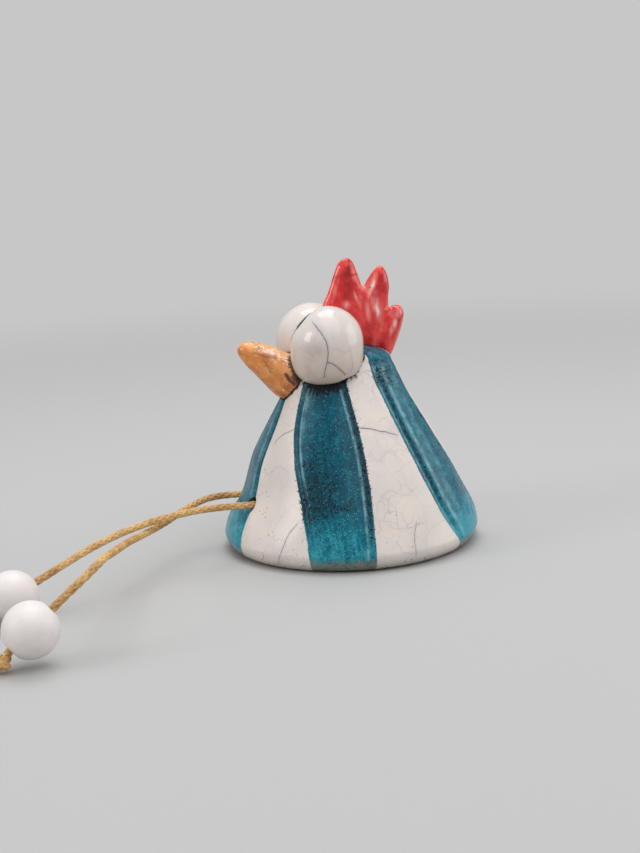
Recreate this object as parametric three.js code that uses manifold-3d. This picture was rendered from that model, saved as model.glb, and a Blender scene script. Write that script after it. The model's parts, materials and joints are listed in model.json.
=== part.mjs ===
// A hand-built ceramic hen that sits on a shelf: a hollow cone body with glazed stripes, two ball
// eyes, a beak and a comb luted on, and two cord legs that end in wooden beads.
// Millimetres, +Z up. The origin is the middle of the base ring, the hen looks along -Y and its
// left side is +X. Angles round the body start at the front and grow towards its left side.
import * as THREE from "three";
import { mergeVertices } from "three/addons/utils/BufferGeometryUtils.js";
import Module from "manifold-3d";

const wasm = await Module();
wasm.setup();

// Body cone
const baseRadius = 35.6;
const baseRounding = 4.6;
const wallThickness = 4.5;
const shoulderRadius = 13;
const shoulderHeight = 52;
const crownRise = 4;
const crownThickness = 14;
const hollowDomeRise = 8.4;
const sideSwell = 1.4;
const frontHollowDepth = 2.2;
const frontHollowHeight = 17;
const frontHollowRise = 7.5;
const frontHollowAngle = 38;

// Glazed stripes, raised a little on the body and fading into its foot. Each has four angles: where
// it starts and ends at the foot, and where it starts and ends at the shoulder.
const stripeRelief = 0.5;
const stripeShoulder = 1.8;
const stripeFade = 8;
const frontStripe = [-18, 18, -7, 7];
const sideStripe = [57, 86, 24, 82];
const backStripe = [127, 166, 107, 155];

// Eyes
const eyeRadius = 10;
const eyeHeight = 21.4;
const eyeInnerReach = 13;
const eyeSpacing = 17.2;
const eyeForward = 6.7;
const eyeRise = 5.2;
const rightEyeDrop = 0.9;

// Beak
const beakLength = 16.8;
const beakRootRadius = 6.4;
const beakTipRadius = 2.6;
const beakRootDepth = 3.2;
const beakDrop = 4.2;
const beakPitch = 34;
const beakFullness = 0.35;

// Comb: three petals, each from its root to its tip as [back, up] from the crown
const combThickness = 6.4;
const combFrontPetal = { root: [-1.5, -2], tip: [2.2, 23.4], halfWidth: 6.6 };
const combMiddlePetal = { root: [5.5, -3], tip: [12, 20.8], halfWidth: 5.4 };
const combBackPetal = { root: [6.5, -5], tip: [17.6, 9.2], halfWidth: 5 };

// Leg holes and the cord legs
const legHoleDiameter = 4.4;
const legHoleHeight = 14.7;
const legHoleAngle = 13;
const cordDiameter = 2;
const anchorKnotDiameter = 6.8;
const endKnotDiameter = 5.1;
const tailLength = 11.5;
const tailBend = 6.3;

// Beads
const beadDiameter = 13;
const beadLength = 12.2;
const beadBore = 3.2;

// Gaps
const luteGap = 0.3;
const knotGap = 0.3;
const groundGap = 0.15;

// Facets
const bodySegments = 72;
const bodyRows = 13;
const hollowRows = 4;
const ballSegments = 20;
const ballRows = 14;
const knotSegments = 14;
const knotRows = 10;
const beakRows = 7;
const arcStep = 18;
const petalStep = 11.25;
const cordSides = 8;
const cordStep = 2.2;
const tailSteps = 5;

const degrees = Math.PI / 180;
const up = new THREE.Vector3(0, 0, 1);

function toSolid(geometry) {
  const bare = geometry.clone();
  bare.deleteAttribute("normal");
  bare.deleteAttribute("uv");
  const weldDistance = 1e-3;
  const welded = mergeVertices(bare, weldDistance);
  return new wasm.Manifold(
    new wasm.Mesh({
      numProp: 3,
      vertProperties: new Float32Array(welded.attributes.position.array),
      triVerts: new Uint32Array(welded.index.array),
    }),
  );
}

function toGeometry(solid) {
  const mesh = solid.getMesh();
  const geometry = new THREE.BufferGeometry();
  geometry.setAttribute("position", new THREE.BufferAttribute(mesh.vertProperties, mesh.numProp));
  geometry.setIndex(new THREE.BufferAttribute(mesh.triVerts, 1));
  geometry.computeVertexNormals();
  return geometry;
}

function piece(name, geometry, material) {
  const mesh = new THREE.Mesh(geometry, new THREE.MeshStandardMaterial(material));
  mesh.name = name;
  return mesh;
}

// A solid of revolution about Z, from [radius, height] pairs
function revolve(profile, segments) {
  const points = profile.map(([radius, height]) => new THREE.Vector2(radius, height));
  return new THREE.LatheGeometry(points, segments).rotateX(Math.PI / 2);
}

// A share that goes smoothly from 0 at `from` to 1 at `to`
function ease(value, from, to) {
  return THREE.MathUtils.smoothstep(value, from, to);
}

// Radius of the plain cone side, which swells a little below its middle
function sideRadius(height) {
  const share = (height - baseRounding) / (shoulderHeight - baseRounding);
  const swellPeak = 4 / 27;
  const swell = (sideSwell / swellPeak) * share * (1 - share) ** 2;
  return baseRadius + (shoulderRadius - baseRadius) * share + swell;
}

// The cone is pressed in a little above the foot of its front
function frontHollow(height, angle) {
  const rise = (height - frontHollowHeight) / frontHollowRise;
  const turn = angle / frontHollowAngle;
  return frontHollowDepth * Math.exp(-rise * rise - turn * turn);
}

// Height of the raised stripes over the white ground
function relief(radius, height, angle) {
  const share = height / shoulderHeight;
  const side = Math.abs(angle);
  let inside = -Infinity;
  for (const [footStart, footEnd, topStart, topEnd] of [frontStripe, sideStripe, backStripe]) {
    const start = THREE.MathUtils.lerp(footStart, topStart, share);
    const end = THREE.MathUtils.lerp(footEnd, topEnd, share);
    const reach = Math.min(side - start, end - side) * degrees * radius;
    inside = Math.max(inside, reach);
  }
  const fade = ease(height, baseRounding, baseRounding + stripeFade);
  return stripeRelief * fade * ease(inside, 0, stripeShoulder);
}

// Points on an ellipse, as [radius, height] pairs, between two angles from level
function arc([centreRadius, centreHeight], radiusAcross, radiusUp, from, to, step = arcStep) {
  const steps = Math.ceil(Math.abs(to - from) / step);
  return Array.from({ length: steps + 1 }, (_, i) => {
    const turn = THREE.MathUtils.lerp(from, to, i / steps) * degrees;
    return [centreRadius + radiusAcross * Math.cos(turn), centreHeight + radiusUp * Math.sin(turn)];
  });
}

// The outside of the body from its foot to its crown
function bodyOutline() {
  const foot = arc([baseRadius - baseRounding, baseRounding], baseRounding, baseRounding, -90, 0);
  const side = [];
  for (let i = 1; i < bodyRows; i += 1) {
    const height = THREE.MathUtils.lerp(baseRounding, shoulderHeight, i / bodyRows);
    side.push([sideRadius(height), height]);
  }
  const crown = arc([0, shoulderHeight], shoulderRadius, crownRise, 0, 90);
  crown.at(-1)[0] = 0;
  return [...foot, ...side, ...crown];
}

// The wall leans, so a level cut through it is longer than its thickness by this factor
const wallLean = Math.hypot(1, (baseRadius - shoulderRadius) / (shoulderHeight - baseRounding));
const wallAcross = wallThickness * wallLean;

// The hollow, from its closed top down to the open foot
function hollowOutline() {
  const domeHeight = shoulderHeight + crownRise - crownThickness - hollowDomeRise;
  const domeRadius = sideRadius(domeHeight) - wallAcross;
  const dome = arc([0, domeHeight], domeRadius, hollowDomeRise, 90, 0);
  dome[0][0] = 0;
  const wall = [];
  for (let i = 1; i <= hollowRows; i += 1) {
    const height = THREE.MathUtils.lerp(domeHeight, baseRounding, i / hollowRows);
    wall.push([sideRadius(height) - wallAcross, height]);
  }
  return [...dome, ...wall, [baseRadius - baseRounding - wallThickness, 0]];
}

// Revolves a profile and presses the front hollow and the stripes into it
function bodyForm(outside, inside, clearance) {
  const profile = [...inside, ...outside];
  const geometry = revolve(profile, bodySegments);
  const position = geometry.attributes.position;
  for (let i = 0; i < position.count; i += 1) {
    const row = i % profile.length;
    const isOutside = row >= inside.length;
    const x = position.getX(i);
    const y = position.getY(i);
    const height = position.getZ(i);
    const radius = Math.hypot(x, y);
    if (radius > 0) {
      const angle = Math.atan2(x, -y) / degrees;
      const raised = isOutside && height > 0 ? relief(radius, height, angle) + clearance : 0;
      const share = (radius - frontHollow(height, angle) + raised) / radius;
      position.setXY(i, x * share, y * share);
    }
    if (isOutside && height > shoulderHeight) {
      position.setZ(i, height + (clearance * (height - shoulderHeight)) / crownRise);
    }
  }
  return toSolid(geometry);
}

// The body's outer form without its hollow, grown by a gap, to fit the head pieces on
function bodyCopy(gap) {
  return bodyForm(bodyOutline(), [[0, 0]], gap);
}

function tube(points, radius, steps) {
  const section = new THREE.Shape();
  section.absarc(0, 0, radius, 0, 2 * Math.PI);
  const path = new THREE.CatmullRomCurve3(points);
  return new THREE.ExtrudeGeometry(section, { steps, curveSegments: cordSides, extrudePath: path });
}

// A closed cylinder whose axis runs from one point to another
function rod(from, to, radius) {
  const axis = to.clone().sub(from);
  const turn = new THREE.Quaternion().setFromUnitVectors(
    new THREE.Vector3(0, 1, 0),
    axis.clone().normalize(),
  );
  const middle = from.clone().add(to).multiplyScalar(0.5);
  return new THREE.CylinderGeometry(radius, radius, axis.length(), ballSegments)
    .applyQuaternion(turn)
    .translate(...middle.toArray());
}

// Leg holes, one on each side of the front stripe, bored level through the wall
function legLine(side) {
  return new THREE.Vector3(side * Math.sin(legHoleAngle * degrees), -Math.cos(legHoleAngle * degrees), 0);
}

function onLegLine(side, radius) {
  return legLine(side).multiplyScalar(radius).setZ(legHoleHeight);
}

function bodyShell() {
  let shell = bodyForm(bodyOutline(), hollowOutline(), 0);
  for (const side of [1, -1]) {
    const innerEnd = onLegLine(side, shoulderRadius);
    const outerEnd = onLegLine(side, baseRadius + wallThickness);
    shell = shell.subtract(toSolid(rod(innerEnd, outerEnd, legHoleDiameter / 2)));
  }
  return toGeometry(shell);
}

// Eyes: two balls pressed against each other and onto the crown. Each bulges towards the other one,
// and the right one sits a little lower.
const eyeCentreHeight = shoulderHeight + eyeRise;

function eyeBall(side, gap) {
  const ball = new THREE.SphereGeometry(1, ballSegments, ballRows).rotateX(Math.PI / 2);
  const position = ball.attributes.position;
  for (let i = 0; i < position.count; i += 1) {
    const reach = side * position.getX(i) < 0 ? eyeInnerReach : eyeRadius;
    position.setX(i, position.getX(i) * (reach + gap));
  }
  const drop = side < 0 ? rightEyeDrop : 0;
  ball
    .scale(1, eyeRadius + gap, eyeHeight / 2 + gap)
    .translate((side * eyeSpacing) / 2, -eyeForward, eyeCentreHeight - drop);
  return toSolid(ball);
}

function eye(side) {
  const halfSize = 2 * eyeHeight;
  const otherHalf = new THREE.BoxGeometry(halfSize, halfSize, halfSize).translate(
    side * (luteGap / 2 - halfSize / 2),
    -eyeForward,
    eyeCentreHeight,
  );
  return toGeometry(eyeBall(side, 0).subtract(toSolid(otherHalf)).subtract(bodyCopy(luteGap)));
}

function cutToHead(solid) {
  return toGeometry(
    solid
      .subtract(bodyCopy(luteGap))
      .subtract(eyeBall(1, luteGap))
      .subtract(eyeBall(-1, luteGap)),
  );
}

// Beak: a round-tipped cone that points forward and up from under the eyes
function beak() {
  const seatHeight = shoulderHeight - beakDrop;
  const tipHeight = beakLength - beakTipRadius;
  const taper = Math.atan2(beakRootRadius - beakTipRadius, tipHeight + beakRootDepth) / degrees;
  const tip = arc([0, tipHeight], beakTipRadius, beakTipRadius, taper, 90);
  tip.at(-1)[0] = 0;
  const [sideEnd, sideEndHeight] = tip[0];
  const side = [];
  for (let i = 0; i < beakRows; i += 1) {
    const share = i / beakRows;
    const swell = beakFullness * Math.sin(Math.PI * share);
    const radius = THREE.MathUtils.lerp(beakRootRadius, sideEnd, share) + swell;
    side.push([radius, THREE.MathUtils.lerp(-beakRootDepth, sideEndHeight, share)]);
  }
  const cone = revolve([[0, -beakRootDepth], ...side, ...tip], ballSegments)
    .rotateX((90 - beakPitch) * degrees)
    .translate(0, -sideRadius(seatHeight), seatHeight);
  return cutToHead(toSolid(cone));
}

// One petal of the comb: half an egg pressed flat
function combPetal({ root, tip, halfWidth }) {
  const across = tip[0] - root[0];
  const rise = tip[1] - root[1];
  const outline = arc([0, 0], halfWidth, Math.hypot(across, rise), 0, 90, petalStep);
  outline.at(-1)[0] = 0;
  const petal = revolve([[0, 0], ...outline], ballSegments)
    .scale(combThickness / (2 * halfWidth), 1, 1)
    .rotateX(-Math.atan2(across, rise))
    .translate(0, root[0], shoulderHeight + crownRise + root[1]);
  return toSolid(petal);
}

// Comb: three petals pinched together, set on the crown behind and between the eyes
function comb() {
  const petals = [combFrontPetal, combMiddlePetal, combBackPetal].map(combPetal);
  return cutToHead(petals[0].add(petals[1]).add(petals[2]));
}

// Each leg: the free route of the cord from the hole to its bead, and the bead's middle on the
// cord's straight end. The left cord passes over the right one half-way.
const legs = {
  left: {
    side: 1,
    route: [
      [7, -34, 14.9],
      [7.6, -39.5, 15.1],
      [9, -45, 15.3],
      [11.4, -50.8, 15.3],
      [14.4, -56.8, 15.2],
      [17.7, -62.8, 14.8],
      [20.9, -68.4, 14],
      [24.2, -73.6, 13],
      [27.3, -78.3, 11.8],
      [30.4, -83, 10.4],
    ],
    beadCentre: [39.2, -95.7, 6.6],
    tailDirection: [-0.2, -0.98, 0],
  },
  right: {
    side: -1,
    route: [
      [-8.2, -33.2, 14.5],
      [-9, -36.8, 14.2],
      [-8.2, -40.4, 13.8],
      [-5, -44.4, 13.3],
      [-0.2, -48.6, 12.8],
      [5.6, -52.8, 12.4],
      [11.6, -57.1, 12.2],
      [17.8, -60.8, 12.4],
      [24.4, -63.6, 13.3],
      [31.2, -65.9, 14.7],
      [37.8, -67.8, 16.2],
      [44.4, -69.5, 17.8],
      [50.8, -71, 19.3],
      [56.8, -72.4, 20.5],
      [62.2, -74.2, 21.1],
      [66.4, -76.9, 20.4],
      [69, -80.2, 18.2],
    ],
    beadCentre: [72, -92.8, 8.6],
    tailDirection: [-0.2, -0.98, 0],
  },
};

// Where the pieces of one leg lie
function legPlan({ side, route, beadCentre, tailDirection }) {
  const mouth = sideRadius(legHoleHeight) - frontHollow(legHoleHeight, legHoleAngle);
  const anchorReach = (anchorKnotDiameter / 2 + knotGap) * wallLean;
  const anchorRadius = mouth - wallAcross - anchorReach;
  const free = route.map((point) => new THREE.Vector3(...point));
  const bead = new THREE.Vector3(...beadCentre);
  const axis = bead.clone().sub(free.at(-1)).normalize();
  const forward = axis.clone().setZ(0).normalize();
  const beadEnd = bead.clone().addScaledVector(axis, beadLength / 2);
  const knotReach = (beadDiameter + endKnotDiameter) / 2 + knotGap;
  const knotHeight = endKnotDiameter / 2 + groundGap;
  const knotDrop = bead.z - knotHeight;
  const knotAcross = Math.sqrt(knotReach * knotReach - knotDrop * knotDrop);
  const knot = bead.clone().addScaledVector(forward, knotAcross).setZ(knotHeight);
  const towardsKnot = knot.clone().sub(beadEnd).normalize();
  const cordEnd = knot.clone().addScaledVector(towardsKnot, -endKnotDiameter / 2 - knotGap);
  return {
    anchor: onLegLine(side, anchorRadius),
    cordStart: onLegLine(side, anchorRadius + anchorKnotDiameter / 2 + knotGap),
    mouth: onLegLine(side, mouth),
    free,
    bead,
    axis,
    cordEnd,
    knot,
    tailDirection: new THREE.Vector3(...tailDirection).normalize(),
  };
}

function knotBall(diameter, centre) {
  return new THREE.SphereGeometry(diameter / 2, knotSegments, knotRows).translate(
    ...centre.toArray(),
  );
}

function legCord({ cordStart, mouth, free, bead, axis, cordEnd }) {
  const straight = [-beadLength, 0, beadLength / 2].map((run) => bead.clone().addScaledVector(axis, run));
  const points = [cordStart, mouth, ...free, ...straight, cordEnd];
  const steps = Math.round(new THREE.CatmullRomCurve3(points).getLength() / (cordStep * cordDiameter));
  return tube(points, cordDiameter / 2, steps);
}

// A round wooden bead with flattened ends, bored through
function bead({ bead: centre, axis }) {
  const half = beadLength / 2;
  const flatTurn = Math.asin(beadLength / beadDiameter) / degrees;
  const outside = arc([0, 0], beadDiameter / 2, beadDiameter / 2, -flatTurn, flatTurn);
  const bore = beadBore / 2;
  const turn = new THREE.Quaternion().setFromUnitVectors(up, axis);
  return revolve([[bore, -half], ...outside, [bore, half], [bore, -half]], ballSegments)
    .applyQuaternion(turn)
    .translate(...centre.toArray());
}

// The end knot keeps the bead on, and its short tail lies on the ground
function endKnot({ knot, tailDirection }) {
  const groundHeight = cordDiameter / 2;
  const bendHeight = 1.5 * groundHeight;
  const tailReach = endKnotDiameter / 2 + tailLength;
  const bend = knot.clone().addScaledVector(tailDirection, tailBend).setZ(bendHeight);
  const end = knot.clone().addScaledVector(tailDirection, tailReach).setZ(groundHeight);
  const tail = tube([knot, bend, end], cordDiameter / 2, tailSteps);
  return toGeometry(toSolid(knotBall(endKnotDiameter, knot)).add(toSolid(tail)));
}

const whiteGlaze = { color: 0xd9d3ce, roughness: 0.25, metalness: 0 };
const orangeGlaze = { color: 0xcd7d41, roughness: 0.3, metalness: 0 };
const redGlaze = { color: 0xc1272d, roughness: 0.2, metalness: 0 };
const paintedWood = { color: 0xe1dde0, roughness: 0.45, metalness: 0 };
const waxedCotton = { color: 0xc8aa70, roughness: 0.75, metalness: 0 };

const hen = new THREE.Group();
hen.add(piece("body_shell", bodyShell(), whiteGlaze));
hen.add(piece("left_eye", eye(1), whiteGlaze));
hen.add(piece("right_eye", eye(-1), whiteGlaze));
hen.add(piece("beak", beak(), orangeGlaze));
hen.add(piece("comb", comb(), redGlaze));
for (const [name, leg] of Object.entries(legs)) {
  const plan = legPlan(leg);
  hen.add(piece(`${name}_anchor_knot`, knotBall(anchorKnotDiameter, plan.anchor), waxedCotton));
  hen.add(piece(`${name}_leg_cord`, legCord(plan), waxedCotton));
  hen.add(piece(`${name}_bead`, bead(plan), paintedWood));
  hen.add(piece(`${name}_end_knot`, endKnot(plan), waxedCotton));
}

export default hen;
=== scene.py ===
import json
import math

import bmesh
import bpy
import numpy as np
from mathutils import Matrix, Vector, geometry
from mathutils.bvhtree import BVHTree
from numpy.polynomial import Polynomial


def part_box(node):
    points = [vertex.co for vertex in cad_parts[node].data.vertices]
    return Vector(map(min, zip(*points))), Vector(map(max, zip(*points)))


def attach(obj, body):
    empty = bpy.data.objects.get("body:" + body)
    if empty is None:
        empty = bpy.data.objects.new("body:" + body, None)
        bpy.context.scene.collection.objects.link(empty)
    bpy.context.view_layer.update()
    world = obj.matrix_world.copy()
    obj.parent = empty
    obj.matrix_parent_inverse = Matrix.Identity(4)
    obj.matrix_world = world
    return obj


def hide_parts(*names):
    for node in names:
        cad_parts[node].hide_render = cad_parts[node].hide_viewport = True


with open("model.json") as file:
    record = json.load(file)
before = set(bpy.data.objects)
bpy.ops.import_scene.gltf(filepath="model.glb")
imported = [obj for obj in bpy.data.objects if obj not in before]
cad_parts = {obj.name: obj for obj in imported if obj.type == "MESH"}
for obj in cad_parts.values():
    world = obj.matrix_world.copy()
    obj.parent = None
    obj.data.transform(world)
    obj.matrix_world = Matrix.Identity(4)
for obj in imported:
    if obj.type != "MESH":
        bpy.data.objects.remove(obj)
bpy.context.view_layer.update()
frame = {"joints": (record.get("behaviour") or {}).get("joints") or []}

# Camera: it stands a little above the hen, at the hen's left and front, as the photographer did.
# The long side of the picture takes the whole sensor.
picture_height = 853
camera_focal_pixels = 1400
camera_place = Vector((0.3721, -0.0997, 0.1076))
camera_look = Vector((-0.9529, 0.2359, -0.1905))
camera_roll = math.radians(-2.85)
camera = bpy.data.objects.new("camera", bpy.data.cameras.new("camera"))
camera.data.lens = camera_focal_pixels / picture_height * camera.data.sensor_width
camera.data.clip_start = 0.01
camera.matrix_world = (
    Matrix.Translation(camera_place)
    @ camera_look.to_track_quat("-Z", "Y").to_matrix().to_4x4()
    @ Matrix.Rotation(camera_roll, 4, "Z")
)
bpy.context.scene.collection.objects.link(camera)
bpy.context.scene.camera = camera
bpy.context.scene.view_settings.view_transform = "Standard"

# Studio: a wide pale paper floor that runs out to a pale room without a horizon, a soft window
# overhead behind the hen, a weaker one at its front, a wide one above the camera and a low one
# at its back.
mm = 0.001
floor_size = 6.0
floor_colour = (0.43, 0.43, 0.43, 1)
room_colour = (0.57, 0.57, 0.57, 1)
room_light = 1.0
lit_floor_radius = 0.2
plain_floor_radius = 0.7
hen_middle = Vector((0, 0, 0.04))


class Field:
    """What a node's output gives at each point. Sums, products and the like are Math nodes."""

    def __init__(self, socket):
        self.socket = socket
        self.tree = socket.id_data

    def __add__(self, other):
        return math_field("ADD", self, other)

    def __sub__(self, other):
        return math_field("SUBTRACT", self, other)

    def __rsub__(self, other):
        return math_field("SUBTRACT", other, self)

    def __mul__(self, other):
        return math_field("MULTIPLY", self, other)

    def __truediv__(self, other):
        return math_field("DIVIDE", self, other)

    def __rtruediv__(self, other):
        return math_field("DIVIDE", other, self)


def wire(node, inputs):
    """Sets a node's inputs, by name or number, or links fields to them."""
    for key, value in inputs.items():
        if isinstance(value, Field):
            value.tree.links.new(value.socket, node.inputs[key])
        else:
            node.inputs[key].default_value = value


def put(tree, kind, inputs=None, **settings):
    """Adds a node, sets its options and wires its inputs."""
    made = tree.nodes.new(kind)
    for name, value in settings.items():
        setattr(made, name, value)
    wire(made, inputs or {})
    return made


def field(tree, kind, output, inputs=None, **settings):
    """One output of a new node."""
    return Field(put(tree, kind, inputs, **settings).outputs[output])


def math_field(operation, *values):
    """The result of a Math node on fields and numbers."""
    tree = next(value.tree for value in values if isinstance(value, Field))
    return field(tree, "ShaderNodeMath", 0, dict(enumerate(values)), operation=operation)


def largest(first, *others):
    """The largest of some fields."""
    for other in others:
        first = math_field("MAXIMUM", first, other)
    return first


def smooth_share(value, low, high):
    """A share that goes smoothly from 0 at low to 1 at high."""
    ends = {"Value": value, "From Min": low, "From Max": high}
    return field(value.tree, "ShaderNodeMapRange", "Result", ends, interpolation_type="SMOOTHSTEP")


def noise(place, scale, detail=2.0, roughness=0.5):
    """Smooth noise about 0.5, at a scale of waves per metre."""
    wanted = {"Vector": place, "Scale": scale, "Detail": detail, "Roughness": roughness}
    return field(place.tree, "ShaderNodeTexNoise", "Fac", wanted)


def bumpy(shader, height, strength, distance):
    """Gives a shader the small relief of a height."""
    relief = {"Height": height, "Strength": strength, "Distance": distance}
    wire(shader, {"Normal": field(height.tree, "ShaderNodeBump", "Normal", relief)})


def start_material(name):
    """A new material, its node tree, its Principled shader and its Object coordinates."""
    made = bpy.data.materials.new(name)
    made.use_nodes = True
    tree = made.node_tree
    return made, tree, tree.nodes["Principled BSDF"], field(tree, "ShaderNodeTexCoord", "Object")


def add_mesh(name, points, faces, material):
    """A smooth mesh object at the origin, with its place in its points."""
    mesh = bpy.data.meshes.new(name)
    mesh.from_pydata([tuple(p) for p in points], [], [tuple(f) for f in faces])
    mesh.polygons.foreach_set("use_smooth", [True] * len(mesh.polygons))
    mesh.update()
    made = bpy.data.objects.new(name, mesh)
    made.data.materials.append(material)
    bpy.context.scene.collection.objects.link(made)
    return made


def soft_light(name, place, size, power):
    """A square area light that looks at the hen."""
    lamp = bpy.data.lights.new(name, "AREA")
    lamp.size = size
    lamp.energy = power
    made = bpy.data.objects.new(name, lamp)
    made.location = place
    made.rotation_mode = "QUATERNION"
    made.rotation_quaternion = (hen_middle - made.location).to_track_quat("-Z", "Y")
    bpy.context.scene.collection.objects.link(made)


def seen_directly(tree):
    """1 on rays from the camera, a mirror or glass, which see the plain pale room."""
    path = put(tree, "ShaderNodeLightPath").outputs
    return largest(*(Field(path[f"Is {kind} Ray"]) for kind in ("Camera", "Glossy", "Transmission")))


floor_material, tree, shader, place = start_material("floor_paper")
wire(shader, {"Base Color": floor_colour, "Roughness": 0.85})
bumpy(shader, noise(place, 900), 0.05, mm)
from_hen = field(tree, "ShaderNodeVectorMath", "Value", {0: place}, operation="LENGTH")
plain = smooth_share(from_hen, lit_floor_radius, plain_floor_radius) * seen_directly(tree)
pale = field(tree, "ShaderNodeEmission", "Emission", {"Color": room_colour})
looks = {0: plain, 1: Field(shader.outputs["BSDF"]), 2: pale}
wire(tree.nodes["Material Output"], {"Surface": field(tree, "ShaderNodeMixShader", "Shader", looks)})
half = floor_size / 2
floor_points = [(-half, -half, 0), (half, -half, 0), (half, half, 0), (-half, half, 0)]
floor = add_mesh("floor", floor_points, [(0, 1, 2, 3)], floor_material)

world = bpy.data.worlds.new("room")
world.use_nodes = True
tree = world.node_tree
ends = {"Factor": seen_directly(tree), "A": room_light, "B": 1.0}
strength = field(tree, "ShaderNodeMix", "Result", ends)
wire(tree.nodes["Background"], {"Color": room_colour, "Strength": strength})
bpy.context.scene.world = world

soft_light("window_light", (-0.17, 0.02, 0.64), 0.43, 1.9)
soft_light("front_light", (0.1, -0.8, 0.4), 0.31, 1.5)
soft_light("camera_light", (0.55, 0.12, 0.95), 1.1, 5.4)
soft_light("back_light", (0.12, 0.78, 0.28), 0.5, 1.3)

# Leg cords: two lengths of tan waxed cotton, braided from eight strands round a core. Each is knotted
# inside the body, comes out of a hole low on the front and bows down to its bead.
strand_radius = 0.37 * mm
braid_radius = 0.58 * mm
braid_wave = 0.045 * mm
braid_pitch = 9.5 * mm
braid_pairs = 4
core_radius = 0.68 * mm
cord_routes = {
    "left": [
        (5.6, -24.4, 14.7), (6.8, -29.5, 14.7), (7, -34, 14.9), (7.6, -39.5, 15.1), (9, -45, 15.3),
        (11.4, -50.8, 15.3), (14.4, -56.8, 15.2), (17.7, -62.8, 14.8), (20.9, -68.4, 14), (24.2, -73.6, 13),
        (27.3, -78.3, 11.8), (30.4, -83, 10.4), (39.2, -95.7, 6.6), (42.6, -100.6, 5.1), (43.3, -101.6, 3.9),
    ],
    "right": [
        (-5.6, -24.4, 14.7), (-6.8, -29.5, 14.7), (-8.2, -33.2, 14.5), (-9, -36.8, 14.2), (-8.2, -40.4, 13.8),
        (-5, -44.4, 13.3), (-0.2, -48.6, 12.8), (5.6, -52.8, 12.4), (11.6, -57.1, 12.3), (17.8, -60.8, 12.7),
        (24.4, -63.6, 13.7), (31.2, -65.9, 14.9), (37.8, -67.8, 16.1), (44.4, -69.5, 17.3), (50.8, -71.1, 18.5),
        (56.8, -72.7, 19.6), (62.1, -74.7, 20.3), (66.3, -77.1, 19.8), (68.8, -80.1, 18.1), (69.8, -83.5, 15.7),
        (70.5, -86.4, 13.5), (71.3, -89.7, 11), (72, -92.8, 8.6), (73.1, -97.5, 5), (73.3, -98.3, 4.2),
    ],
}


def smooth_line(points, step=0.25 * mm):
    """A smooth line through points, as evenly spaced points."""
    points = np.asarray(points, float)
    before, after = 2 * points[0] - points[1], 2 * points[-1] - points[-2]
    padded = np.vstack([before, points, after])
    pieces = []
    for a, b, c, d in zip(padded, padded[1:], padded[2:], padded[3:]):
        t = np.linspace(0, 1, 40, endpoint=False)[:, None]
        bend = 2 * b + (c - a) * t + (2 * a - 5 * b + 4 * c - d) * t**2 + (3 * b - a - 3 * c + d) * t**3
        pieces.append(bend / 2)
    line = np.vstack([*pieces, points[-1:]])
    along = np.append(0, np.cumsum(np.linalg.norm(np.diff(line, axis=0), axis=1)))
    at = np.linspace(0, along[-1], max(8, round(along[-1] / step)))
    return np.stack([np.interp(at, along, column) for column in line.T], axis=1)


def colours(share, *stops):
    """A colour that goes through (share, colour) stops."""
    made = put(share.tree, "ShaderNodeValToRGB", {"Fac": share})
    while len(made.color_ramp.elements) < len(stops):
        made.color_ramp.elements.new(0.5)
    for element, (at, colour) in zip(made.color_ramp.elements, stops):
        element.position = at
        element.color = (*colour, 1)
    return Field(made.outputs["Color"])


cord_material, tree, shader, place = start_material("waxed_cotton")
fibre = noise(place, 2600, 3.0, 0.6)
tan = colours(
    smooth_share(fibre + noise(place, 160), 0.6, 1.4),
    (0.0, (0.33, 0.16, 0.045)),
    (0.5, (0.55, 0.32, 0.112)),
    (1.0, (0.72, 0.475, 0.21)),
)
wire(shader, {"Base Color": tan, "Roughness": 0.55})
bumpy(shader, fibre, 0.5, 0.1 * mm)


def start_group(name, inputs, outputs, kind="ShaderNodeTree"):
    """A node group with named sockets: its tree and the fields that it is given."""
    tree = bpy.data.node_groups.new(name, kind)
    for way, sockets in (("INPUT", inputs), ("OUTPUT", outputs)):
        for socket, sort in sockets.items():
            tree.interface.new_socket(socket, in_out=way, socket_type=f"NodeSocket{sort}")
    given = put(tree, "NodeGroupInput").outputs
    return tree, {socket: Field(given[socket]) for socket in inputs}


def vector_math(operation, vector, other):
    """The result of a Vector Math node."""
    key = "Scale" if operation == "SCALE" else 1
    return field(vector.tree, "ShaderNodeVectorMath", 0, {0: vector, key: other}, operation=operation)


def floats(*names):
    """Sockets for numbers, by name."""
    return dict.fromkeys(names, "Float")


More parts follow.
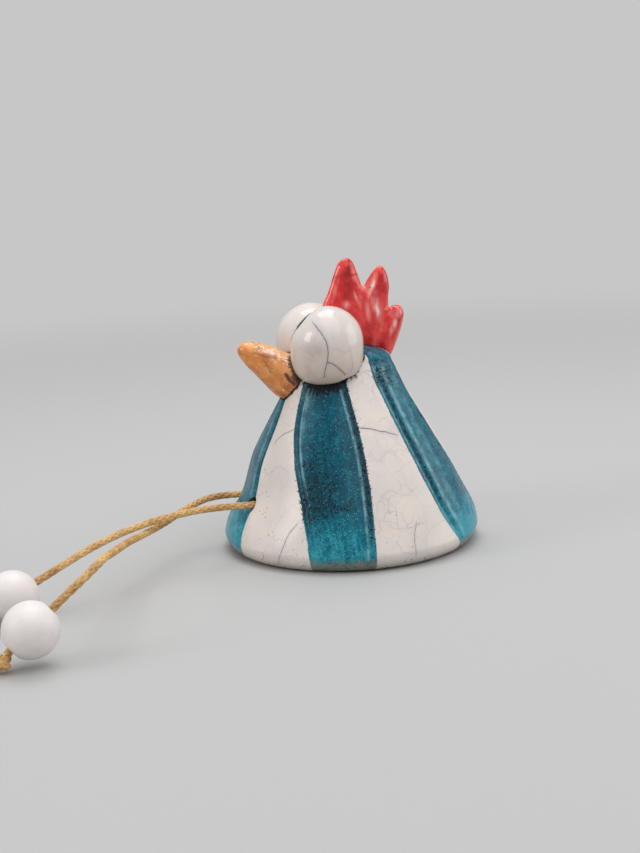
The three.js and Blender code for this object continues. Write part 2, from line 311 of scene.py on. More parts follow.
def braid_tree():
    """Geometry Nodes that braid pairs of strands round a core along the object's own line."""
    numbers = floats("Strand Radius", "Braid Radius", "Wave", "Pitch", "Core Radius")
    inputs = {"Geometry": "Geometry", **numbers, "Pairs": "Int", "Material": "Material"}
    tree, given = start_group("cord_braid", inputs, {"Geometry": "Geometry"}, "GeometryNodeTree")
    line = field(tree, "GeometryNodeMeshToCurve", "Curve", {"Mesh": given["Geometry"]})
    copies = {"Geometry": line, "Amount": given["Pairs"] * 2.0}
    strands = put(tree, "GeometryNodeDuplicateElements", copies, domain="SPLINE").outputs
    number = Field(strands["Duplicate Index"])
    pair = math_field("FLOOR", number / 2.0)
    side = math_field("MODULO", number, 2.0) * 2.0 - 1.0
    turn = field(tree, "GeometryNodeSplineParameter", "Length") * math.tau / given["Pitch"]
    angle = turn * side + pair * math.tau / given["Pairs"]
    wave = math_field("COSINE", turn * given["Pairs"]) * side
    reach = wave * given["Wave"] + given["Braid Radius"]
    normal = field(tree, "GeometryNodeInputNormal", "Normal")
    tangent = field(tree, "GeometryNodeInputTangent", "Tangent")
    across = vector_math("CROSS_PRODUCT", tangent, normal)
    offset = vector_math(
        "ADD",
        vector_math("SCALE", normal, math_field("COSINE", angle) * reach),
        vector_math("SCALE", across, math_field("SINE", angle) * reach),
    )
    moved = {"Geometry": Field(strands["Geometry"]), "Offset": offset}
    wound = field(tree, "GeometryNodeSetPosition", "Geometry", moved)
    joined = put(tree, "GeometryNodeJoinGeometry")
    for curve, radius in ((line, given["Core Radius"]), (wound, given["Strand Radius"])):
        circle = {"Resolution": 8, "Radius": radius}
        ring = field(tree, "GeometryNodeCurvePrimitiveCircle", "Curve", circle)
        tube = {"Curve": curve, "Profile Curve": ring, "Fill Caps": True}
        wire(joined, {0: field(tree, "GeometryNodeCurveToMesh", "Mesh", tube)})
    made = Field(joined.outputs["Geometry"])
    made = field(tree, "GeometryNodeSetShadeSmooth", "Geometry", {"Geometry": made})
    made = field(tree, "GeometryNodeRealizeInstances", "Geometry", {"Geometry": made})
    finish = {"Geometry": made, "Material": given["Material"]}
    put(tree, "NodeGroupOutput", {"Geometry": field(tree, "GeometryNodeSetMaterial", "Geometry", finish)})
    return tree


braid = braid_tree()


def plain_mesh(made):
    """Puts what an object's modifiers make into its mesh, and takes the modifiers off."""
    bpy.context.view_layer.update()
    shown = made.evaluated_get(bpy.context.evaluated_depsgraph_get())
    mesh = bpy.data.meshes.new_from_object(shown)
    made.modifiers.clear()
    made.data = mesh
    mesh.name = made.name


def braided_cord(name, line):
    """A braided cord as a plain mesh along a line of points."""
    mesh = bpy.data.meshes.new(name)
    mesh.from_pydata([tuple(p) for p in line], [(i, i + 1) for i in range(len(line) - 1)], [])
    made = bpy.data.objects.new(name, mesh)
    bpy.context.scene.collection.objects.link(made)
    modifier = made.modifiers.new("braid", "NODES")
    modifier.node_group = braid
    values = {
        "Strand Radius": strand_radius,
        "Braid Radius": braid_radius,
        "Wave": braid_wave,
        "Pitch": braid_pitch,
        "Core Radius": core_radius,
        "Pairs": braid_pairs,
        "Material": cord_material,
    }
    for socket in braid.interface.items_tree:
        if socket.in_out == "INPUT" and socket.name in values:
            modifier[socket.identifier] = values[socket.name]
    plain_mesh(made)
    return made


leg_cords = {}
leg_lines = {}
for side, route in cord_routes.items():
    leg_lines[side] = smooth_line(np.array(route) * mm)
    leg_cords[side] = braided_cord(f"{side}_cord", leg_lines[side])
    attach(leg_cords[side], "hen")
    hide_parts(f"{side}_leg_cord")

# Body: a hollow cone of pale clay, pinched thin and open below, with five panels pressed proud of its
# wall and two leg holes bored low on its front. White crackle glaze covers it, the panels carry a teal
# glaze brushed on, and the smoke of the firing has blackened cracks, pinholes and the bare clay.
foot_radius = 35.6
foot_rounding = 4.6
shoulder_radius = 13.0
shoulder_height = 52.0
crown_rise = 4.0
crown_thickness = 14.0
hollow_dome = 8.4
wall_thickness = 4.5
side_swell = 1.4
front_hollow = {"depth": 2.2, "height": 17.0, "rise": 7.5, "angle": 38.0}
hole_radius = 2.0
hole_height = 14.7
hole_angle = 12.4
hole_dimple = {"depth": 0.15, "radius": 1.35 * hole_radius}
panel_rise = 0.6
panel_ridge = {"height": 0.16, "inset": 2.1, "width": 0.5}
panel_groove = {"depth": 0.2, "inset": 1.0, "width": 0.6}
front_edge_share = 0.79
# Unevenness of the hand-built wall: its size, waves round the body, twist with height, and start
wobbles = [(0.16, 2, 1.0, 0.7), (0.12, 3, -1.9, 0), (0.05, 9, 2.3, 0), (0.05, 13, -3.1, 0)]
raw_clay_depth = (1.2, 2.6)
sharp_edge = math.radians(50)
round_segments = 400
row_length = 0.46

# Edges of the glazed panels on the hen's left, as angles from the front at heights above the foot
front_edge = [(43, 8), (38, 11), (33.5, 12.6), (25, 13), (16.5, 13), (13.8, 13.6), (9.5, 15.8), (4.5, 17)]
side_front_edge = [
    (46, 29), (42.9, 30.8), (38.9, 32.4), (33.3, 36.5), (28.1, 40.8), (23.4, 44.4), (18.3, 48.7), (14.9, 51.8),
    (11.1, 54), (4.1, 56.4),
]
side_back_edge = [(46.3, 77.5), (43.6, 80), (40, 82), (36, 83.5), (28, 85.4), (20, 86.2), (11, 85.5), (4, 85.4)]
back_near_edge = [
    (47.4, 106), (44.5, 109), (39.8, 111.5), (34.3, 113), (28.7, 115), (24.4, 117), (18.2, 119.6),
    (11.3, 123.3), (5, 128), (2.8, 131),
]
back_far_edge = [(50, 156), (40, 154), (32, 153), (24, 156), (13, 162), (4, 166)]
# Painted light on each panel's teal, front, side and back: the front and back panels are painted lighter
painted_panel_light = (0.07, 0.0, 0.08)
# Steps from panel to panel and from side to side in the brush strokes' noise, so none are alike
stroke_steps = (30, 100)
pinhole_band = {"angle": 36.0, "lean": 0.68, "width": 4.5, "share": 0.5, "elsewhere": 0.008}

# Lines that follow a panel's edge: the panel's number from the front, its front (0) or back (1) edge,
# the distance in from it, the line's spread, the height above which it shows, and its strength
# The pale ones stand for teal that runs thin on the ridges and for painted sheen
pale_lines = [
    (0, 1, 2.1, 0.3, 10, 0.7), (1, 0, 2.65, 0.42, 22, 0.95), (1, 0, 3.6, 0.3, 34, 0.6),
    (1, 1, 2.1, 0.3, 2, 0.9), (2, 0, 1.0, 0.24, 6, 0.7), (2, 0, 3.7, 0.8, 4, 0.75), (2, 1, 2.1, 0.3, 4, 0.6),
    (2, 0, 2.2, 1.4, 47, 0.7), (2, 0, 7.5, 1.6, 12, 0.3), (1, 0, 3.1, 1.2, 42, 0.8),
]
soot_lines = [(1, 1, 0.8, 0.85, 9, 0.95), (2, 0, 2.0, 0.3, 18, 0.95), (0, 1, 0.7, 0.4, 20, 0.35)]
# Such a line fades in over some height, ends below the crown and stays off the panel's other edge
line_fade = 5.0
line_top = (50, 52)
line_clearance = 0.8

# The strongest smoked cracks: their strength, and their heights and angles from the front
body_cracks = [
    (0.9, [(36.2, 81), (35.6, 91.5), (34.9, 97.7), (32.9, 113)]),
    (0.7, [(30.6, 18), (32.9, 21.9), (34.4, 27.7), (35.8, 36)]),
    (0.7, [(0.9, 40), (6.1, 43.6), (10, 45.7), (13.8, 51)]),
    (0.6, [(2.4, 103), (7.5, 103.5), (12.6, 107)]),
    (0.25, [(13.2, 90), (10.8, 95.6), (10.7, 105.4), (11.6, 114)]),
    (0.3, [(16.4, 87), (20.2, 95), (18.4, 104), (20.4, 113)]),
    (0.25, [(31, 87), (27.6, 93), (29.6, 101), (26.6, 108)]),
    (0.25, [(26, 14), (23.4, 22), (26, 30), (24.4, 41)]),
    (0.6, [(27, -20), (24.5, -30), (26, -41)]),
    (0.7, [(3, -92), (9, -96), (16, -93), (20, -98)]),
    (0.7, [(30, -87), (27.5, -100), (29, -113)]),
    (0.6, [(5, 177), (13, 181), (22, 178), (27, 183)]),
    (0.6, [(33, 176), (31, 186), (34, 194)]),
]

# How far off a crack still shows, how soon its ends open, and the step along it
crack_reach = 1.5
crack_end_share = 1 / 7
crack_step = 0.8

# Smoke specks on the panels: height and angle of the middle, spread up and around, and strength
soot_clouds = [
    (26.5, 57, 4.0, 6.5, 0.5), (20.5, 56, 5.0, 6.5, 0.75), (21, 65, 4.0, 5.0, 0.5), (17, 71, 1.2, 5.0, 0.7),
    (15.5, 60, 2.6, 6.0, 0.6), (17, 50, 3.4, 2.4, 0.8), (13.5, 53, 2.4, 2.4, 0.5), (36.0, 145, 8.0, 6.0, 0.3),
    (48.5, 120, 2.6, 14.0, 0.8), (22.0, -58, 7.0, 9.0, 0.5), (12.0, -76, 5.0, 7.0, 0.4),
    (18.0, -140, 7.0, 8.0, 0.45),
]


def curve_through(points, degree=3):
    """A smooth angle, by height, near given points, and steady above and below them."""
    heights, angles = zip(*points)
    curve = Polynomial.fit(heights, angles, degree)
    return lambda height: curve(np.clip(height, min(heights), max(heights)))


front_reach = curve_through(front_edge)
panel_edges = [
    (lambda height: -front_reach(height), front_reach),
    (curve_through(side_front_edge), curve_through(side_back_edge)),
    (curve_through(back_near_edge), curve_through(back_far_edge)),
]


def ease(value, low, high):
    """A share that goes smoothly from 0 at low to 1 at high."""
    share = np.clip((value - low) / (high - low), 0, 1)
    return share * share * (3 - 2 * share)


def hump(off, spread):
    """1 in the middle of a soft hump, and less the further off."""
    return np.exp(-((off / spread) ** 2))


def side_radius(height):
    """Radius of the plain cone, which swells a little below its middle."""
    share = (height - foot_rounding) / (shoulder_height - foot_rounding)
    swell = side_swell * 27 / 4 * share * (1 - share) ** 2
    return foot_radius + (shoulder_radius - foot_radius) * share + swell


def pressed_in(height, angle):
    """How far the front of the cone is pressed in above its foot."""
    up = hump(height - front_hollow["height"], front_hollow["rise"])
    return front_hollow["depth"] * up * hump(angle, front_hollow["angle"])


def wall_radius(height, angle):
    """Radius of the body's outside, its rounded foot included, without the panels."""
    up = np.clip(height / foot_rounding, 0, 1)
    foot = foot_radius - foot_rounding * (1 - np.sqrt(1 - (1 - up) ** 2))
    return np.where(height < foot_rounding, foot, side_radius(height)) - pressed_in(height, angle)


def from_edges(radius, height, angle):
    """For each panel, the distances in from its front and its back edge, along the surface."""
    turn = np.abs(angle)
    reaches = [(turn - start(height), end(height) - turn) for start, end in panel_edges]
    return [(np.radians(front) * radius, np.radians(back) * radius) for front, back in reaches]


def inside_panel(radius, height, angle):
    """Distance in from the nearest panel edge, and below 0 on the white ground."""
    reaches = from_edges(radius, height, angle)
    return np.max([np.minimum(front_edge_share * front, back) for front, back in reaches], axis=0)


def beside_edges(lines, radius, height, angle):
    """How strongly lines that follow the panel edges show."""
    reaches = from_edges(radius, height, angle)
    shown = 0 * height
    for panel, edge, inset, spread, low, strength in lines:
        across = hump(reaches[panel][edge] - inset, spread) * (reaches[panel][1 - edge] > line_clearance)
        upper = ease(height, low - line_fade, low + line_fade) * (1 - ease(height, *line_top))
        shown = np.maximum(shown, strength * across * upper)
    return shown


def panel_relief(inside, height):
    """Height of a panel over the white ground: a groove inside its edge, then a ridge and its flat."""
    groove = panel_groove["depth"] * hump(inside - panel_groove["inset"], panel_groove["width"])
    ridge = panel_ridge["height"] * hump(inside - panel_ridge["inset"], panel_ridge["width"])
    step = panel_rise * ease(inside, panel_ridge["inset"] - 1.0, panel_ridge["inset"] + 0.2)
    return (step + ridge - groove) * ease(height, 2.0, 10.0)


def arc(centre, across, up, start, end, steps):
    """Points of an ellipse, as (radius, height), between two angles from level."""
    turn = np.radians(np.linspace(start, end, steps))
    return np.stack([centre[0] + across * np.cos(turn), centre[1] + up * np.sin(turn)], axis=1)


def around_body(radius, height, angle):
    """Points at a radius and height and at an angle from the front."""
    turn = np.radians(angle) + 0 * height
    return np.stack([radius * np.sin(turn), -radius * np.cos(turn), height + 0 * turn], axis=-1)


def body_points():
    """The body's profile, from the top of its hollow, round its foot, to its crown, turned on Z."""
    lean = math.hypot(1, (foot_radius - shoulder_radius) / (shoulder_height - foot_rounding))
    dome_height = shoulder_height + crown_rise - crown_thickness - hollow_dome
    wall_heights = np.linspace(dome_height, foot_rounding, 16)[1:]
    inner_wall = np.stack([side_radius(wall_heights) - wall_thickness * lean, wall_heights], axis=1)
    dome = arc((0, dome_height), side_radius(dome_height) - wall_thickness * lean, hollow_dome, 89, 0, 8)
    inner_foot = foot_radius - foot_rounding - wall_thickness
    inner_lip = arc((inner_foot + 1, 1), 1, 1, 180, 270, 5)
    foot = arc((foot_radius - foot_rounding, foot_rounding), foot_rounding, foot_rounding, -90, 0, 17)
    rows = round((shoulder_height - foot_rounding) / row_length)
    heights = np.linspace(foot_rounding, shoulder_height, rows)[1:-1]
    wall = np.stack([side_radius(heights), heights], axis=1)
    crown = arc((0, shoulder_height), shoulder_radius, crown_rise, 0, 89, 20)
    inside = np.vstack([dome, inner_wall, inner_lip])
    profile = np.vstack([inside, foot, wall, crown])
    angle = np.linspace(-180, 180, round_segments, endpoint=False)[None, :]
    radius, height = profile[:, :1], profile[:, 1:] + 0 * angle
    outer = (np.arange(len(profile)) >= len(inside))[:, None]
    relief = panel_relief(inside_panel(radius, height, angle), height)
    around, level = np.radians(angle), height / 9
    wobble = sum(
        size * np.sin(waves * around + twist * level + start) for size, waves, twist, start in wobbles
    )
    wobble = wobble * ease(height, 1, 12) * ease(-height, -50, -40)
    dimple = 0 * height
    for hole in (hole_angle, -hole_angle):
        away = np.hypot(np.radians(angle - hole) * radius, height - hole_height)
        dimple = dimple + hole_dimple["depth"] * np.exp(-((away / hole_dimple["radius"]) ** 4))
    raised = np.where(outer, relief + wobble - dimple, 0) - pressed_in(height, angle)
    radius = np.where(radius > 1, radius + raised, radius)
    return around_body(radius, height, angle) * mm


def ring_faces(rows, segments, closed=False):
    """Quads between rings of points that lie one after another, and a face over each end ring, or
    quads from the last ring to the first one where the form closes on itself."""
    rings = np.arange(rows * segments).reshape(rows, segments)
    lower = rings if closed else rings[:-1]
    upper = np.roll(rings, -1, axis=0)[:len(lower)]
    quads = np.stack([lower, np.roll(lower, -1, axis=1), np.roll(upper, -1, axis=1), upper], axis=2)
    ends = [] if closed else [rings[0, ::-1].tolist(), rings[-1].tolist()]
    return quads.reshape(-1, 4).tolist() + ends


def mesh_points(made):
    """An object's points, in millimetres."""
    flat = np.empty(3 * len(made.data.vertices), np.float32)
    made.data.vertices.foreach_get("co", flat)
    return flat.reshape(-1, 3).astype(float) / mm


def write_attribute(made, name, values):
    """Keeps one number for each point of an object, for its material to read."""
    kept = made.data.attributes.new(name, "FLOAT", "POINT")
    kept.data.foreach_set("value", np.asarray(values, np.float32))


def to_segments(spots, starts, ends):
    """For each spot, the nearest of some straight lines, the way from it, and its foot's place on it."""
    run = ends - starts
    share = np.einsum("ijk,jk->ij", spots[:, None] - starts[None], run) / (run**2).sum(1)
    share = np.clip(share, 0, 1)
    gap = spots[:, None] - starts[None] - share[:, :, None] * run[None]
    nearest = np.linalg.norm(gap, axis=2).argmin(1)
    rows = np.arange(len(spots))
    return nearest, gap[rows, nearest], share[rows, nearest]


def write_cracks(made, outward, cracks, place_of):
    """Keeps each point's signed distance across the nearest crack, and how open the crack is there.
    A crack's points are pairs of numbers, and place_of says where they lie."""
    spots = mesh_points(made)
    across = np.full(len(spots), 6 * crack_reach)
    opening = np.zeros(len(spots))
    weakest = np.full(len(spots), crack_reach)
    for strength, crack in cracks:
        line = smooth_line(place_of(*np.array(crack, float).T), crack_step)
        run = np.diff(line, axis=0)
        ball = np.ptp(line, axis=0).max() + 2 * crack_reach
        near = np.flatnonzero(np.linalg.norm(spots - line.mean(0), axis=1) < ball)
        nearest, gap, share = to_segments(spots[near], line[:-1], line[1:])
        off = np.einsum("ij,ij->i", gap, outward[near])
        away = np.linalg.norm(gap - off[:, None] * outward[near], axis=1)
        side = np.sign(np.einsum("ij,ij->i", np.cross(run[nearest], outward[near]), gap))
        along = (nearest + share) / len(run)
        wide = strength * np.clip(np.minimum(along, 1 - along) / crack_end_share, 0, 1)
        weak = away - 0.5 * wide
        wins = (away < crack_reach) & (np.abs(off) < crack_reach) & (weak < weakest[near])
        across[near[wins]] = (side * away)[wins]
        opening[near[wins]] = wide[wins]
        weakest[near[wins]] = weak[wins]
    write_attribute(made, "crack_across", across)
    write_attribute(made, "crack_opening", opening)


def attribute(tree, name):
    """A number kept on the mesh."""
    return field(tree, "ShaderNodeAttribute", "Fac", attribute_name=name)


def kept_cracks(tree):
    """What write_cracks has kept on the mesh, for the groups that show cracks."""
    return {"Across": attribute(tree, "crack_across"), "Opening": attribute(tree, "crack_opening")}


def coat(under, share, colour, kind="MIX"):
    """A colour laid over another one as far as a share."""
    ends = {0: share, 6: under, 7: colour if isinstance(colour, Field) else (*colour, 1)}
    return field(under.tree, "ShaderNodeMix", 2, ends, data_type="RGBA", blend_type=kind)


def level_of(place):
    """The height of a place above the ground."""
    return field(place.tree, "ShaderNodeSeparateXYZ", "Z", {"Vector": place})


def stretched(place, scale):
    """Coordinates scaled by axis, so that a pattern on them is stretched."""
    return vector_math("MULTIPLY", place, scale)


def wandering(place, scale, size):
    """Coordinates pushed about by noise."""
    wanted = {"Vector": place, "Scale": scale, "Detail": 1}
    push = field(place.tree, "ShaderNodeTexNoise", "Color", wanted)
    push = vector_math("SUBTRACT", push, (0.5, 0.5, 0.5))
    return vector_math("ADD", place, vector_math("SCALE", push, size))


def effect(group, place, **inputs):
    """What a shared node group makes at a place, by the names of its outputs."""
    made = put(place.tree, "ShaderNodeGroup", {"Vector": place, **inputs}, node_tree=group)
    return {socket.name: Field(socket) for socket in made.outputs}


# Fine crackle in a glaze: thin lines round cells of a given size
crackle_lines, given = start_group(
    "crackle_lines", {"Vector": "Vector", **floats("Cell", "Width")}, floats("Line")
)
cells = {"Vector": wandering(given["Vector"], 260, 3.2 * mm), "Scale": 1.0 / given["Cell"]}
edge = field(crackle_lines, "ShaderNodeTexVoronoi", "Distance", cells, feature="DISTANCE_TO_EDGE")
put(crackle_lines, "NodeGroupOutput", {"Line": 1.0 - smooth_share(edge, 0.0, given["Width"])})

# Carbon specks: small spots, one to a cell, in a given share of the cells
carbon_specks, given = start_group(
    "carbon_specks", {"Vector": "Vector", **floats("Spacing", "Size", "Share")}, floats("Mask")
)
cells = {"Vector": wandering(given["Vector"], 3400, 0.12 * mm), "Scale": 1.0 / given["Spacing"]}
cells = put(carbon_specks, "ShaderNodeTexVoronoi", cells).outputs
chance = field(carbon_specks, "ShaderNodeSeparateColor", 0, {"Color": Field(cells["Color"])})
picked = math_field("LESS_THAN", chance, given["Share"])
dot = 1.0 - smooth_share(Field(cells["Distance"]), given["Size"] * 0.6, given["Size"])
put(carbon_specks, "NodeGroupOutput", {"Mask": dot * picked})


def specks(place, spacing, size, share):
    """Carbon specks at a place."""
    return effect(carbon_specks, place, Spacing=spacing, Size=size, Share=share)["Mask"]


# Smoke at a joint: black that thins out unevenly away from the joint
joint_smoke, given = start_group(
    "joint_smoke", {"Vector": "Vector", **floats("Distance", "Reach")}, floats("Mask")
)
ragged = (noise(given["Vector"], 1300, 3.0) - 0.5) * 1.7 * given["Reach"]
clean = smooth_share(given["Distance"] + ragged, given["Reach"] * 0.35, given["Reach"])
put(joint_smoke, "NodeGroupOutput", {"Mask": 1.0 - clean})

# Smoked crack: a thin dark line that wanders a little, in a soft halo
smoked_crack, given = start_group(
    "smoked_crack", {"Vector": "Vector", **floats("Across", "Opening")}, floats("Core", "Halo")
)
shaky = noise(given["Vector"], 700) * 0.5 - 0.25
from_crack = math_field("ABSOLUTE", given["Across"] + shaky)
half_width = given["Opening"] * 0.13 + 0.05
core = 1.0 - smooth_share(from_crack, half_width * 0.3, half_width)
core = core * smooth_share(given["Opening"], 0.0, 0.8)
halo = (1.0 - smooth_share(from_crack, 0.0, 0.95)) * (given["Opening"] * 0.3)
put(smoked_crack, "NodeGroupOutput", {"Core": core, "Halo": halo})

# White crackle glaze: warm and cool clouds, a faint net of fine crackle, a few strong smoked cracks
# with a grey halo, and pinholes
white_crackle, given = start_group(
    "white_crackle",
    {"Vector": "Vector", **floats("Across", "Opening", "Cell", "Net", "Pinholes")},
    {"Color": "Color", "Height": "Float"},
)
place = given["Vector"]
cloud = smooth_share(noise(place, 70, 3.0), 0.3, 0.7)
white = colours(cloud, (0.0, (0.62, 0.57, 0.54)), (1.0, (0.72, 0.65, 0.6)))
net = effect(crackle_lines, place, Cell=given["Cell"], Width=0.022)["Line"]
net = net * smooth_share(noise(place, 110), 0.34, 0.66)
fine_net = effect(crackle_lines, place, Cell=given["Cell"] * 0.5, Width=0.032)["Line"]
fine_net = fine_net * (smooth_share(noise(place, 150, 1.0), 0.5, 0.7) * 0.6)
net = largest(net, fine_net) * given["Net"]
white = coat(white, net, (0.27, 0.24, 0.25))
crack = effect(smoked_crack, place, Across=given["Across"], Opening=given["Opening"])
white = coat(white, crack["Halo"], (0.34, 0.32, 0.37))
white = coat(white, crack["Core"] * 0.85, (0.1, 0.09, 0.105))
gaping = crack["Core"] * smooth_share(given["Opening"], 1.3, 2.0)
white = coat(white, gaping * 0.9, (0.012, 0.01, 0.01))
pin = specks(place, 0.8 * mm, 0.26, given["Pinholes"])
white = coat(white, pin * 0.85, (0.06, 0.05, 0.05))
brushed = noise(stretched(place, (1, 1, 0.4)), 650)
lumps = brushed * 0.35 + noise(place, 180) * 1.2
dark = largest(crack["Core"], net, pin)
put(white_crackle, "NodeGroupOutput", {"Color": white, "Height": lumps - dark * 0.4})

body_material, tree, shader, place = start_material("striped_glaze")
panel, soot, raw = (attribute(tree, name) for name in ("panel", "soot", "raw_clay"))
pinholes = attribute(tree, "pinholes")
level = level_of(place)
ground = effect(white_crackle, place, **kept_cracks(tree), Cell=5.2 * mm, Net=0.42, Pinholes=pinholes)

# Teal glaze, brushed along the panel, paler towards the foot and on the lines beside the edges
brushing = {"X": attribute(tree, "stroke"), "Y": level * 90.0}
along_panel = field(tree, "ShaderNodeCombineXYZ", "Vector", brushing)
strokes = noise(along_panel, 1.1, 3.0, 0.55)
mottle = noise(place, 420, 5.0, 0.75)
low_down = 1.0 - smooth_share(level, 4 * mm, 19 * mm)
# The teal's depth takes each panel's painted light
depth = strokes * 0.3 + mottle * 0.7 + attribute(tree, "painted_light") + low_down * 0.25
teal = colours(
    depth,
    (0.34, (0.0, 0.04, 0.068)),
    (0.5, (0.0, 0.068, 0.108)),
    (0.64, (0.0, 0.13, 0.185)),
    (0.82, (0.03, 0.29, 0.37)),
)
# Pale lines beside the edges, for teal that runs thin on the ridges and for painted sheen
thin_teal_and_sheen = smooth_share(noise(place, 420, 3.0), 0.3, 0.64) * 0.6 + 0.35
thin_teal_and_sheen = thin_teal_and_sheen * attribute(tree, "pale_line")
teal = coat(teal, thin_teal_and_sheen * 0.8, (0.3, 0.53, 0.59))
# Painted glints: pale specks that stand for tiny sparkling highlights on the glaze, more towards the foot
painted_teal_glints = specks(place, 0.34 * mm, 0.4, low_down * 0.2 + 0.22)
teal = coat(teal, painted_teal_glints * 0.5, (0.22, 0.5, 0.58))
teal = coat(teal, soot * 0.45, (0.0, 0.02, 0.034))

# The teal ends unevenly at the panels' edges and thins out above the scuffed, sooty foot
uneven = noise(place, 240) * 0.4 + (noise(place, 1500) * 0.34 - 0.17)
brushed_on = smooth_share(panel + uneven, 0.12, 0.34)
above_foot = noise(place, 330) * (1.6 * mm) + level
on_panel = brushed_on * smooth_share(above_foot, 3.0 * mm, 5.4 * mm)
thin_teal = colours(
    mottle, (0.35, (0.06, 0.08, 0.07)), (0.5, (0.13, 0.18, 0.16)), (0.7, (0.2, 0.25, 0.21))
)
glaze = coat(ground["Color"], brushed_on * 0.92, thin_teal)
glaze = coat(glaze, on_panel, teal)
coarse = specks(place, 0.8 * mm, 0.48, soot * 0.85)
dusty = specks(place, 0.46 * mm, 0.55, soot * 0.9)
sooty = largest(coarse, dusty) * smooth_share(panel, -0.7, 0.1)
glaze = coat(glaze, sooty * 0.95, (0.004, 0.007, 0.009))
sooty_foot = 1.0 - smooth_share(above_foot, 0.9 * mm, 1.7 * mm)
glaze = coat(glaze, sooty_foot * 0.9, (0.03, 0.024, 0.02))
scuffed = 1.0 - smooth_share(above_foot, 1.2 * mm, 4.6 * mm)
scuffs = specks(place, 0.7 * mm, 0.42, scuffed * 0.4)
glaze = coat(glaze, scuffed * 0.3, (0.22, 0.17, 0.13))
glaze = coat(glaze, scuffs * 0.7, (0.05, 0.036, 0.026))
smoke = effect(joint_smoke, place, Distance=attribute(tree, "joint"), Reach=1.0)["Mask"]
glaze = coat(glaze, smoke * 0.97, (0.004, 0.004, 0.005))
clay = colours(noise(place, 300, 4.0), (0.3, (0.03, 0.027, 0.025)), (0.75, (0.13, 0.115, 0.1)))
gloss = noise(place, 320, 3.0) * 0.18 + 0.14
dull = largest(smoke, sooty, raw)
wire(shader, {"Base Color": coat(glaze, raw, clay), "Roughness": dull * 0.5 + gloss})
wire(shader, {"Specular IOR Level": 0.2})
bumpy(shader, (mottle + thin_teal_and_sheen) * on_panel * 0.9 + ground["Height"], 0.5, 0.14 * mm)

rings = body_points()
body = add_mesh("hen_body", rings.reshape(-1, 3), ring_faces(*rings.shape[:2]), body_material)
body.data.flip_normals()
drills = []
for hole in (hole_angle, -hole_angle):
    reach = np.array([0.5, 1.2]) * foot_radius
    start, end = (Vector(p) * mm for p in around_body(reach, np.full(2, hole_height), hole))
    turned = (end - start).to_track_quat("Z", "Y").to_matrix().to_4x4()
    form = bmesh.new()
    bmesh.ops.create_cone(
        form,
        cap_ends=True,
        segments=48,
        radius1=hole_radius * mm,
        radius2=hole_radius * mm,
        depth=(end - start).length,
        matrix=Matrix.Translation((start + end) / 2) @ turned,
    )
    mesh = bpy.data.meshes.new("leg_hole")
    form.to_mesh(mesh)
    form.free()
    mesh.polygons.foreach_set("use_smooth", [True] * len(mesh.polygons))
    drill = bpy.data.objects.new("leg_hole", mesh)
    bpy.context.scene.collection.objects.link(drill)
    drills.append(drill)
    cut = body.modifiers.new("leg_hole", "BOOLEAN")
    cut.object = drill
    cut.operation = "DIFFERENCE"
    cut.solver = "EXACT"
plain_mesh(body)
for drill in drills:
    bpy.data.objects.remove(drill)
body.data.set_sharp_from_angle(angle=sharp_edge)

spots = mesh_points(body)
height = spots[:, 2]
radius = np.hypot(spots[:, 0], spots[:, 1])
body_angle = np.degrees(np.arctan2(spots[:, 0], -spots[:, 1]))
write_attribute(body, "panel", inside_panel(radius, height, body_angle))
depth = np.where(height > shoulder_height, 0, wall_radius(height, body_angle) - radius)
write_attribute(body, "raw_clay", ease(depth, *raw_clay_depth))
soot = 0 * height
for middle, turn, rise, spread, strength in soot_clouds:
    soot += strength * hump(height - middle, rise) * hump(body_angle - turn, spread)
soot = np.maximum(soot, beside_edges(soot_lines, radius, height, body_angle))
write_attribute(body, "soot", np.clip(soot, 0, 0.95))
write_attribute(body, "pale_line", beside_edges(pale_lines, radius, height, body_angle))
stroke = np.full(len(height), -9.0)
painted_light = 0 * height
for number, (front, back) in enumerate(from_edges(radius, height, body_angle)):
    within = np.minimum(front, back) > -1
    stroke[within] = (stroke_steps[0] * number + front + stroke_steps[1] * (body_angle < 0))[within]
    painted_light[within] = painted_panel_light[number]
write_attribute(body, "stroke", stroke)
write_attribute(body, "painted_light", painted_light)
off_band = body_angle - pinhole_band["angle"] + pinhole_band["lean"] * height
pitted = hump(off_band, pinhole_band["width"]) * ease(height, 1, 4) * ease(-height, -32, -18)
write_attribute(body, "pinholes", pinhole_band["elsewhere"] + pinhole_band["share"] * pitted)
outward = around_body(np.ones_like(height), 0 * height, body_angle)
write_cracks(body, outward, body_cracks, lambda up, turn: around_body(wall_radius(up, turn), up, turn))
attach(body, "hen")
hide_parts("body_shell")

# Eyes: two plain balls of clay, rolled in the palm, pressed together and onto the crown while soft.
# They carry the same white crackle glaze as the body, with a few strong smoked cracks.
eye_radius = 10.0
eye_height = 21.4
eye_fullness = 3.0
eye_inner_reach = {"left": 11.0, "right": 13.0}
eye_spacing = 17.2
eye_forward = 6.7
eye_rise = 5.2
right_eye_drop = 0.9
left_eye_press = {"way": (-0.3, -0.67, 0.68), "depth": 0.15, "spread": 0.6}
press_gap = 0.1
body_rounding = 0.9
pair_rounding = 0.5
eye_unevenness = 0.006
eye_rings = 130
eye_segments = 220

